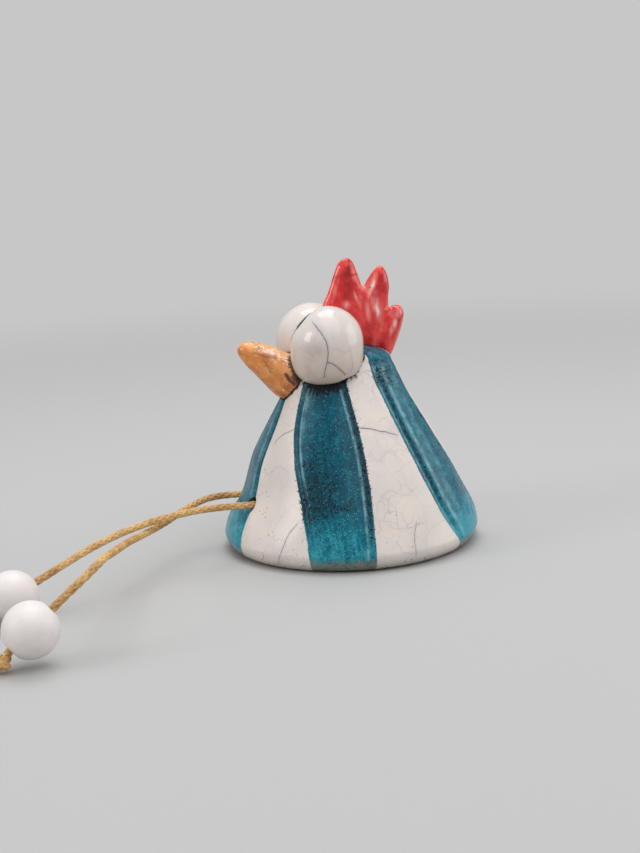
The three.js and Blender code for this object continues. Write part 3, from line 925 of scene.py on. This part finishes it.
# Cracks: their strength, and level turns from the hen's left side and tilts above level, seen from
# the eye's middle
eye_cracks = {
    "left": [
        (1.0, [(-51, 47), (-34, 35), (-24, 25), (-15, 12), (-13, -1), (-15, -17), (-20, -33), (-40, -69)]),
        (1.1, [(-18, -12), (-15, -17), (-5, -21), (8, -31), (37, -49), (47, -42)]),
        (0.35, [(23, 4), (23, -5), (27, -22), (28, -41)]),
        (0.25, [(-9, -3), (0, 0), (12, -6), (30, -3)]),
        (0.2, [(-60, -10), (-48, -20), (-40, -36), (-24, -48)]),
    ],
    "right": [
        # The first two draw the dark line of the seam where the right eye meets the left one
        (0.6, [
            (-6, 60), (-14.5, 54.8), (-21, 50.4), (-30.9, 42), (-38.1, 33.6), (-44.2, 25), (-49, 16), (-53, 2),
        ]),
        (1.9, [(-14.5, 54.8), (-21, 50.4), (-30.9, 42), (-38.1, 33.6), (-44.2, 25)]),
        (0.9, [(-128, 50), (-140, 34), (-152, 20), (-158, 2), (-150, -18), (-154, -40)]),
        (0.7, [(-156, 6), (-158, 2), (-172, -4), (-190, -14), (-202, -10)]),
        (0.3, [(-88, 30), (-98, 12), (-94, -6)]),
    ],
}

# Faint grey clouds on the eyes: level turn and tilt of the middle, spread around and up, and strength
eye_clouds = {
    "left": [(-34, -4, 17, 13, 0.42), (-52, -34, 20, 16, 0.25), (26, -34, 22, 16, 0.2)],
    "right": [(-140, -6, 18, 14, 0.4), (-196, -30, 22, 16, 0.25)],
}

eye_material, tree, shader, place = start_material("eye_glaze")
ground = effect(white_crackle, place, **kept_cracks(tree), Cell=6.5 * mm, Net=0.16, Pinholes=0.004)
smoke = effect(joint_smoke, place, Distance=attribute(tree, "joint"), Reach=0.6)["Mask"]
# Painted shade: the eyes are darkened and warmed towards their lower parts
painted_lower_shade = smooth_share(noise(place, 130) * (8 * mm) + level_of(place), 66 * mm, 52 * mm)
glaze = coat(ground["Color"], painted_lower_shade, (0.89, 0.8, 0.73), "MULTIPLY")
hazy = (noise(place, 300, 3.0) * 1.6 + 0.2) * attribute(tree, "grey_cloud")
glaze = coat(glaze, hazy, (0.3, 0.26, 0.25))
glaze = coat(glaze, smoke * 0.85, (0.02, 0.018, 0.018))
gloss = noise(place, 260, 3.0) * 0.14 + 0.04
wire(shader, {"Base Color": glaze, "Roughness": smoke * 0.5 + gloss})
bumpy(shader, ground["Height"], 0.45, 0.1 * mm)


def ball_ways(rings, segments):
    """Directions over a ball, pole to pole along X, ring by ring."""
    tilt = np.radians(np.linspace(0.4, 179.6, rings))[:, None]
    turn = np.linspace(0, math.tau, segments, endpoint=False)[None, :]
    across = np.sin(tilt)
    ways = np.stack([np.cos(tilt) + 0 * turn, across * np.cos(turn), across * np.sin(turn)], axis=2)
    return ways.reshape(-1, 3)


def smooth_min(first, second, rounding):
    """The smaller of two numbers, eased over where they are alike."""
    share = np.clip(0.5 + 0.5 * (second - first) / rounding, 0, 1)
    return second + (first - second) * share - rounding * share * (1 - share)


def bulged(steps, side, sign):
    """Steps from an eye's middle to its surface, longer towards the other eye."""
    stretch = np.where(sign * steps[:, 0] < 0, eye_inner_reach[side] / eye_radius, 1)
    return steps * np.stack([stretch, 0 * stretch + 1, 0 * stretch + 1], axis=1)


def surface_of(made):
    """A search tree over an object's faces."""
    corners = [v.co for v in made.data.vertices]
    return BVHTree.FromPolygons(corners, [tuple(p.vertices) for p in made.data.polygons])


body_surface = surface_of(body)
eyes = {}
for side, sign in (("left", 1), ("right", -1)):
    drop = right_eye_drop if side == "right" else 0
    centre = np.array([sign * eye_spacing / 2, -eye_forward, shoulder_height + eye_rise - drop])
    size = np.array([eye_radius, eye_radius, eye_height / 2])
    ball = ball_ways(eye_rings, eye_segments)
    level_part, lower_part = np.hypot(*ball.T[:2]), np.maximum(-ball[:, 2], 0)
    fuller = (level_part**eye_fullness + lower_part**eye_fullness) ** (-1 / eye_fullness)
    x, y, z = ball.T
    dents = 1 + eye_unevenness * (np.sin(5 * y + 2 * z + sign) + np.sin(4 * z - 3 * x))
    if side == "left":
        from_press = np.arccos(np.clip(ball @ np.array(left_eye_press["way"]), -1, 1))
        dents -= left_eye_press["depth"] * hump(from_press, left_eye_press["spread"])
    steps = bulged(ball * size, side, sign) * (np.where(ball[:, 2] < 0, fuller, 1) * dents)[:, None]
    reach = np.linalg.norm(steps, axis=1)
    ways = steps / reach[:, None]
    stop = np.full(len(ways), 99.0)
    for i, way in enumerate(ways):
        hit = body_surface.ray_cast(Vector(centre * mm), Vector(way), 2 * eye_radius * mm)
        if hit[0] is not None:
            stop[i] = hit[3] / mm - press_gap
    towards_other = np.maximum(-sign * ways[:, 0], 1e-3)
    reach = smooth_min(reach, stop, body_rounding)
    reach = smooth_min(reach, (eye_spacing / 2 - press_gap) / towards_other, pair_rounding)
    skin = (centre + ways * reach[:, None]) * mm
    eye = add_mesh(f"{side}_eye_ball", skin, ring_faces(eye_rings, eye_segments), eye_material)
    eye.data.flip_normals()

    def on_eye(turn, tilt):
        turn, tilt = np.radians(turn), np.radians(tilt)
        way = np.stack([np.cos(tilt) * np.cos(turn), np.cos(tilt) * np.sin(turn), np.sin(tilt)], axis=1)
        return centre + bulged(way * size, side, sign)

    write_cracks(eye, ways, eye_cracks[side], on_eye)
    turned, tilted = np.degrees(np.arctan2(ways[:, 1], ways[:, 0])), np.degrees(np.arcsin(ways[:, 2]))
    grey_cloud = 0 * reach
    for turn, tilt, spread, rise, strength in eye_clouds[side]:
        off = (turned - turn + 180) % 360 - 180
        grey_cloud += strength * hump(off, spread) * hump(tilted - tilt, rise)
    write_attribute(eye, "grey_cloud", grey_cloud)
    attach(eye, "hen")
    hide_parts(f"{side}_eye")
    eyes[side] = eye

# Beak: a blunt cone of clay luted on under the eyes and tipped up, in an orange glaze with brown
# mottling from the smoke, a painted lighter upper side and painted pale glints along its top.
beak_root = (-15.8, 48.6)
beak_pitch = math.radians(31.3)
beak_stations = [
    (-4.2, -0.2, 5.2), (-2.7, -0.25, 6.0), (-1.2, -0.3, 6.35), (0.5, -0.35, 6.3), (3.6, -0.28, 5.4),
    (7, 0.1, 4.8), (10.7, 0.45, 3.85), (13, 0.55, 3.1), (14.6, 0.5, 2.3), (15.5, 0.4, 1.5),
    (15.95, 0.3, 0.8), (16.1, 0.25, 0.2),
]
beak_width = 0.97
# The band round the beak where glints are painted: how far up it lies, and its spread
glint_band = {"up": 0.68, "spread": 0.24}
# Unevenness: its size, waves round the beak, and twist along it
beak_unevenness = [(0.012, 3, 0.5), (0.01, 5, -0.8)]
beak_segments = 96

# Cracks: their strength, and places along the beak and turns round it, up from the hen's left side
beak_cracks = [
    (1.3, [(2.8, 4), (1.8, 0), (0.8, -7), (-0.3, -9), (-1.8, -14)]),
    (0.4, [(13, 7), (12.2, 11), (10, 15), (7, 25), (5.2, 31)]),
    (0.36, [(9.8, 9), (9.2, 2), (7.2, -10), (5.4, -24)]),
    (0.45, [(9.4, 168), (6.5, 180), (4, 198)]),
    (1.2, [(2.4, 172), (0.8, 186), (-1, 193)]),
]

# Smoke on the beak: place along it and turn of the middle, spread along and around, and strength
beak_soot = [(-0.6, 1, 1.3, 11, 0.95), (7.6, -4, 1.6, 16, 0.3), (10.6, 8, 2.2, 9, 0.22), (4, -12, 2.4, 10, 0.2)]

beak_material, tree, shader, place = start_material("orange_glaze")
tilted_back = {"Vector": place, "Rotation": (beak_pitch, 0, 0)}
along_beak = field(tree, "ShaderNodeMapping", "Vector", tilted_back)
mottle = noise(place, 240, 4.0, 0.6)
streak = noise(stretched(along_beak, (1, 0.3, 1)), 420, 3.0, 0.55)
# The upper side of the beak is painted lighter
orange = colours(
    streak * 0.5 + mottle * 0.5 + attribute(tree, "painted_top_light") * 0.09,
    (0.3, (0.36, 0.105, 0.022)),
    (0.43, (0.66, 0.225, 0.055)),
    (0.56, (0.8, 0.35, 0.105)),
    (0.76, (0.88, 0.58, 0.31)),
)
# Painted glints: pale streaks along the top ridge
painted_ridge_glints = noise(stretched(along_beak, (1, 0.35, 1)), 1500, 4.0, 0.65) + attribute(tree, "ridge") * 0.2
orange = coat(orange, smooth_share(painted_ridge_glints, 0.6, 0.74) * 0.8, (0.9, 0.79, 0.66))
soot = attribute(tree, "soot")
orange = coat(orange, soot * (mottle * 2.4 - 0.2), (0.2, 0.055, 0.015))
dusty = specks(place, 0.5 * mm, 0.56, math_field("POWER", soot, 2.0))
orange = coat(orange, dusty * 0.9, (0.02, 0.011, 0.008))
veins = effect(crackle_lines, place, Cell=5 * mm, Width=0.05)["Line"]
veins = veins * smooth_share(noise(place, 190), 0.45, 0.7)
orange = coat(orange, veins * 0.7, (0.14, 0.045, 0.018))
pits = specks(place, 1.3 * mm, 0.22, 0.14)
orange = coat(orange, pits * 0.7, (0.1, 0.03, 0.012))
crack = effect(smoked_crack, place, **kept_cracks(tree))
orange = coat(orange, crack["Halo"] * 3.0, (0.2, 0.06, 0.018))
orange = coat(orange, crack["Core"] * 0.92, (0.02, 0.011, 0.008))
smoke = effect(joint_smoke, place, Distance=attribute(tree, "joint"), Reach=0.8)["Mask"]
orange = coat(orange, smoke * 0.9, (0.02, 0.014, 0.012))
wire(shader, {"Base Color": orange, "Roughness": smoke * 0.4 + (mottle * 0.2 + 0.04)})
bumpy(shader, mottle - largest(veins, pits), 0.4, 0.12 * mm)

stations = smooth_line(beak_stations, 0.3)


def beak_spots(along, turn):
    """Points of the beak's skin at places along it and turns round it."""
    lift, radius = (np.interp(along, stations[:, 0], column) for column in stations.T[1:])
    uneven = sum(size * np.sin(waves * turn + twist * along) for size, waves, twist in beak_unevenness)
    radius = radius * (1 + uneven)
    rise = lift + radius * np.sin(turn)
    y = beak_root[0] - along * math.cos(beak_pitch) + rise * math.sin(beak_pitch)
    z = beak_root[1] + along * math.sin(beak_pitch) + rise * math.cos(beak_pitch)
    return np.stack([beak_width * radius * np.cos(turn), y, z], axis=-1)


turn = np.linspace(0, math.tau, beak_segments, endpoint=False)
spots = beak_spots(stations[:, :1], turn[None, :]).reshape(-1, 3)
beak = add_mesh("hen_beak", spots * mm, ring_faces(len(stations), beak_segments), beak_material)
along, up = stations[:, :1], np.sin(turn)[None, :]
# How far up each point lies, for the painted lighter upper side
write_attribute(beak, "painted_top_light", (up + 0 * along).ravel())
ridge = hump(up - glint_band["up"], glint_band["spread"]) * ease(along, 1, 4) * ease(-along, -14, -11)
write_attribute(beak, "ridge", ridge.ravel())
soot = 0 * ridge
for middle, way, run, spread, strength in beak_soot:
    off = (np.degrees(turn)[None, :] - way + 180) % 360 - 180
    soot = np.maximum(soot, strength * hump(along - middle, run) * hump(off, spread))
write_attribute(beak, "soot", soot.ravel())
outward = np.array([tuple(vertex.normal) for vertex in beak.data.vertices])
write_cracks(beak, outward, beak_cracks, lambda along, turn: beak_spots(along, np.radians(turn)))
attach(beak, "hen")
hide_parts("beak")

# Comb: a slab of clay pinched into three plump petals with soft valleys between them, luted on the
# crown behind the eyes, in a thick glossy red glaze, painted paler on its edges for thin glaze and a painted
# sheen.
comb_outline = [
    (-5.2, 60), (-5.5, 64), (-5, 67.1), (-3.4, 70.4), (-1.6, 75.1), (-0.1, 78.2), (2, 79.4), (3.8, 78.4),
    (5.2, 74.8), (6.5, 71.3), (8, 73.2), (9.9, 75.6), (11.9, 76.7), (13.4, 74.8), (14.1, 71.3), (13.7, 67.8),
    (13.8, 65.1), (15.2, 65.5), (17, 65.3), (17.9, 63.6), (17.8, 61.6), (16.2, 56.8), (13.3, 51.2), (10, 51),
    (5, 52.5), (0, 54.5),
]
comb_half_thickness = 3.2
comb_tip_thickness = 2.1
comb_edge = 2.9
comb_step = 0.36
comb_rings = (0.04, 0.14, 0.3, 0.55, 0.9, 1.3)
comb_grid_inset = 1.6
comb_taper = (60, 78)
petal_axes = [((-0.6, 58), (2, 77)), ((7.6, 58), (11.8, 74.5)), ((11.4, 56), (16.8, 64))]
petal_swell = 0.3
petal_width = 2.1
fold = {"height": 74.7, "depth": 0.16, "width": 0.3, "back": 6.0, "waver": 0.25}

# Where the red is paler, for thin glaze and painted highlights and reflections: place in the slab,
# spread across and along, lean from upright, and strength
thin_red_and_sheen_spots = [
    (9.6, 65.6, 1.5, 4.2, -6, 0.75), (8.7, 71.4, 0.7, 4.0, 24, 0.85), (7, 65, 0.9, 3.4, -6, 0.6),
    (14.4, 60.8, 0.8, 3.6, 26, 0.85), (-1.9, 70.6, 0.5, 4.2, 18, 0.5), (1, 66.8, 1.3, 1.3, 0, 0.6),
    (4.2, 68, 0.5, 2.6, -22, 0.65), (12.8, 73, 0.4, 2.6, -10, 0.4), (16.4, 63.6, 0.6, 1.6, 20, 0.6),
]

comb_material, tree, shader, place = start_material("red_glaze")
# Paler near the rim, for thin glaze and a painted sheen
thin_rim_and_sheen = 1.0 - smooth_share(attribute(tree, "rim"), 0.2, 2.2)
streak = noise(stretched(place, (1, 1, 0.4)), 330, 3.0, 0.55)
mottle = noise(place, 520, 3.0, 0.6)
low_down = smooth_share(level_of(place), 70 * mm, 58 * mm)
tone = streak * 0.6 + mottle * 0.4 + thin_rim_and_sheen * 0.12 - attribute(tree, "swell") * 0.14
red = colours(
    tone + low_down * 0.07,
    (0.28, (0.34, 0.006, 0.009)),
    (0.43, (0.58, 0.018, 0.019)),
    (0.57, (0.72, 0.045, 0.04)),
    (0.8, (0.8, 0.22, 0.19)),
)
# Paler red where the glaze ran thin, and painted highlights and reflections
wash_and_sheen = noise(stretched(place, (1, 1, 0.3)), 900, 4.0, 0.65) * 2.6 - 0.3
wash_and_sheen = wash_and_sheen * attribute(tree, "thin_red_and_sheen")
red = coat(red, smooth_share(wash_and_sheen, 0.05, 0.8), (0.82, 0.26, 0.23))
# The palest core is a painted highlight
red = coat(red, smooth_share(wash_and_sheen, 0.55, 1.1), (0.9, 0.72, 0.69))
pits = specks(place, 1.5 * mm, 0.2, 0.24)
red = coat(red, pits * 0.75, (0.07, 0.004, 0.006))
red = coat(red, attribute(tree, "fold") * 0.4, (0.13, 0.006, 0.01))
wire(shader, {"Base Color": red, "Roughness": mottle * 0.14 + 0.04})
bumpy(shader, noise(place, 260) - pits * 0.5, 0.5, 0.2 * mm)

outline = smooth_line([*comb_outline, comb_outline[0]], comb_step)[:-1]
ahead = np.roll(outline, -1, axis=0)
inward = np.stack([ahead[:, 1] - outline[:, 1], outline[:, 0] - ahead[:, 0]], axis=1)
inward /= np.linalg.norm(inward, axis=1)[:, None]


def to_rim(spots):
    """Distance of spots of the slab to its outline."""
    return np.linalg.norm(to_segments(spots, outline, ahead)[1], axis=1)


spots = [outline]
for depth in comb_rings:
    ring = outline + depth * inward
    spots.append(ring[to_rim(ring) > 0.9 * depth])
low, high = outline.min(0), outline.max(0)
columns, lines = np.arange(low[0], high[0], comb_step), np.arange(low[1], high[1], comb_step)
grid = np.stack(np.meshgrid(columns, lines), axis=2).reshape(-1, 2)
spots.append(grid[to_rim(grid) > comb_grid_inset])
spots = np.vstack(spots)
edges = [(i, (i + 1) % len(outline)) for i in range(len(outline))]
flat = geometry.delaunay_2d_cdt([Vector(p) for p in spots], edges, [], 1, 1e-5)
spots = np.array([tuple(p) for p in flat[0]])
inset = to_rim(spots)
axis_starts = np.array([start for start, end in petal_axes], float)
axis_ends = np.array([end for start, end in petal_axes], float)
to_axis = np.linalg.norm(to_segments(spots, axis_starts, axis_ends)[1], axis=1)
thin_red_and_sheen = 0 * inset
for y, z, across, along, lean, strength in thin_red_and_sheen_spots:
    off = spots - np.array([y, z])
    turn = math.radians(lean)
    aside, up = off @ (math.cos(turn), -math.sin(turn)), off @ (math.sin(turn), math.cos(turn))
    thin_red_and_sheen = np.maximum(thin_red_and_sheen, strength * hump(aside, across) * hump(up, along))
slab = np.interp(spots[:, 1], comb_taper, [comb_half_thickness, comb_tip_thickness])
rounded = np.sqrt(1 - (1 - np.clip(inset / comb_edge, 0, 1)) ** 2)
swell = hump(to_axis, petal_width)
fold_height = fold["height"] + fold["waver"] * np.sin(1.3 * spots[:, 0])
folded = hump(spots[:, 1] - fold_height, fold["width"]) * ease(-spots[:, 0], -fold["back"], -5)
thick = slab * rounded * (1 - petal_swell * (1 - swell)) - fold["depth"] * folded * rounded
rim = inset < 1e-4
thick = np.where(rim, 0, thick)
back_number = np.where(rim, np.arange(len(spots)), np.cumsum(~rim) - 1 + len(spots))
points = np.vstack([
    np.column_stack([thick, spots]),
    np.column_stack([-thick[~rim], spots[~rim]]),
])
faces = [tuple(f) for f in flat[2]]
faces += [tuple(back_number[i] for i in reversed(f)) for f in flat[2]]
comb = add_mesh("hen_comb", points * mm, faces, comb_material)
for name, values in (("rim", inset), ("swell", swell), ("fold", folded), ("thin_red_and_sheen", thin_red_and_sheen)):
    write_attribute(comb, name, np.append(values, values[~rim]))
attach(comb, "hen")
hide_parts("comb")

# Joints of the luted pieces: the glaze pulls back from them and the smoke of the firing blackens the
# bare line, so the body, the eyes and the beak keep how far each point is from the pieces beside it.
joint_reach = 5.0
under_eye_smoke = {"angle": 54, "spread": 24, "elsewhere": 0.7, "more": 3.8}
smoked_joints = {
    body: {eyes["left"]: 1.0, eyes["right"]: 1.0, beak: 0.7, comb: 3.6},
    eyes["left"]: {body: 1.3, eyes["right"]: 2.4, beak: 0.8, comb: 0.5},
    eyes["right"]: {body: 1.3, eyes["left"]: 2.4, beak: 0.8, comb: 0.5},
    beak: {body: 0.8, eyes["left"]: 1.7, eyes["right"]: 1.7},
}
for piece, neighbours in smoked_joints.items():
    nearest = np.full(len(piece.data.vertices), joint_reach)
    for neighbour, spread in neighbours.items():
        surface = surface_of(neighbour)
        for i, vertex in enumerate(piece.data.vertices):
            away = surface.find_nearest(vertex.co, joint_reach * mm)[3]
            if away is not None:
                nearest[i] = min(nearest[i], away / mm / spread)
    if piece == body:
        under_eye = hump(np.abs(body_angle) - under_eye_smoke["angle"], under_eye_smoke["spread"])
        nearest = nearest / (under_eye_smoke["elsewhere"] + under_eye_smoke["more"] * under_eye)
    write_attribute(piece, "joint", nearest)

# Beads: turned wooden balls, dipped in white paint and threaded on the cords as the hen's feet.
# The paint lets a little of the grain show and leaves a thin soft lip round each bore.
bead_diameter = 13.0
bead_length = 12.2
bead_bore = 3.2
bead_lip = 0.55
bead_lip_turn = 4
bead_segments = 96
bead_centres = {"left": (39.2, -95.7, 6.6), "right": (72, -92.8, 8.6)}

bead_material, tree, shader, place = start_material("painted_wood")
grain = noise(stretched(place, (1, 0.22, 0.5)), 900, 4.0, 0.6)
patch = noise(place, 120)
white = colours(
    grain * 0.5 + patch * 0.5,
    (0.3, (0.66, 0.61, 0.6)),
    (0.55, (0.73, 0.68, 0.665)),
    (0.8, (0.77, 0.725, 0.71)),
)
white = coat(white, specks(place, 2.6 * mm, 0.12, 0.12) * 0.4, (0.3, 0.27, 0.26))
wire(shader, {"Base Color": white, "Roughness": grain * 0.22 + 0.3})
bumpy(shader, patch * 0.8 + grain, 0.35, 0.12 * mm)

for side, centre in bead_centres.items():
    axis = Vector(frame["joints"][("left", "right").index(side)]["axis"]).normalized()
    end_turn = math.degrees(math.asin(bead_length / bead_diameter)) - bead_lip_turn
    outside = arc((0, 0), bead_diameter / 2, bead_diameter / 2, -end_turn, end_turn, 48)
    lip_radius = bead_bore / 2 + bead_lip
    low_lip = arc((lip_radius, -bead_length / 2 + bead_lip), bead_lip, bead_lip, 180, 270, 7)
    high_lip = arc((lip_radius, bead_length / 2 - bead_lip), bead_lip, bead_lip, 90, 180, 7)
    profile = np.vstack([low_lip, outside, high_lip])
    turn = np.linspace(0, math.tau, bead_segments, endpoint=False)[None, :]
    radius, height = profile[:, :1], profile[:, 1:] + 0 * turn
    points = np.stack([radius * np.cos(turn), radius * np.sin(turn), height], axis=2).reshape(-1, 3)
    facing = np.array(axis.to_track_quat("Z", "Y").to_matrix())
    faces = ring_faces(len(profile), bead_segments, closed=True)
    bead = add_mesh(f"{side}_foot_bead", (points @ facing.T + np.array(centre)) * mm, faces, bead_material)
    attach(bead, f"{side}_foot")
    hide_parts(f"{side}_bead")

# Knots: an overhand knot in each end of each cord. The one inside the wall keeps the cord from
# pulling out, and the one under the bead ends in a short tail on the ground.
knot_ring = 1.15
knot_strand = 0.62
knot_depth = 1.25
knot_radius = 2.55
inner_knot_size = 1.35
tail_way = np.array([-0.2, -0.98, 0])
tail_steps = [(4.2, 1.9), (7.5, 1.3), (13.6, 1.05)]


def overhand(centre, way, size=1.0):
    """The line of a tight overhand knot that goes in against a direction and out along it."""
    share = np.linspace(0.07, 0.93, 22) * math.tau
    ring = (knot_ring + knot_strand * np.cos(3 * share)) * size
    loop = np.stack([
        ring * np.cos(2 * share),
        ring * np.sin(2 * share),
        -knot_strand * size * knot_depth * np.sin(3 * share),
    ], axis=1)
    facing = np.array(Vector(way).to_track_quat("X", "Z").to_matrix())
    return loop @ facing.T + np.array(centre)


for side, sign in (("left", 1), ("right", -1)):
    low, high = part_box(f"{side}_end_knot")
    ball = np.array(high) / mm - knot_radius
    tail = [(*(ball + tail_way * run)[:2], level) for run, level in tail_steps]
    line = smooth_line(np.vstack([overhand(ball, tail_way), tail]) * mm)
    end_knot = braided_cord(f"{side}_knot", line)
    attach(end_knot, "hen")
    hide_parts(f"{side}_end_knot")
    low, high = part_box(f"{side}_anchor_knot")
    ball = np.array((low + high) / 2) / mm
    inwards = (-sign * math.sin(math.radians(hole_angle)), math.cos(math.radians(hole_angle)), 0)
    line = smooth_line(overhand(ball, inwards, inner_knot_size) * mm)
    anchor_knot = braided_cord(f"{side}_inner_knot", line)
    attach(anchor_knot, "hen")
    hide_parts(f"{side}_anchor_knot")
